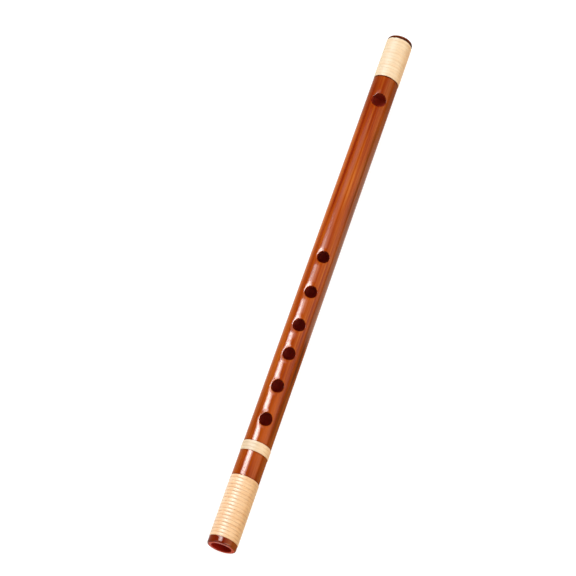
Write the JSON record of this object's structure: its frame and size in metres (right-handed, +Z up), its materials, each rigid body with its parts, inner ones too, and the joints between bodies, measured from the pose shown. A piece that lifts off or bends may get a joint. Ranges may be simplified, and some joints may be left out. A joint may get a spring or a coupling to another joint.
{
  "type": "transverse bamboo flute",
  "caption": "Side-blown bamboo flute: lacquered tube with mouth hole and finger holes, cane bindings at head and foot, closed domed head, open foot.",
  "frame": {"origin": "middle of the flute's length, on the surface it lies on, under its axis", "axes": "+X along the flute to the open foot end, -X to the capped head, +Z up out of the mouth hole and finger holes, +Y to the left of someone looking from the head to the foot with the holes up"},
  "size_m": [0.4205, 0.0214, 0.0211],
  "materials": {
    "lacquered_bamboo": "glossy orange-brown lacquer over grained bamboo, deep red lacquer in the bore",
    "cane_strip": "cream split cane with a natural satin skin",
    "cap_lacquer": "dark brown gloss lacquer",
    "cork": "matt cork",
    "beeswax": "satin wax"
  },
  "bodies": {
    "root": {"bamboo_tube": "lacquered_bamboo", "foot_wrap": "cane_strip", "foot_ring": "cane_strip", "head_wrap": "cane_strip", "head_cap": "cap_lacquer", "stopper": "cork", "wax_face": "beeswax"}
  },
  "joints": []
}
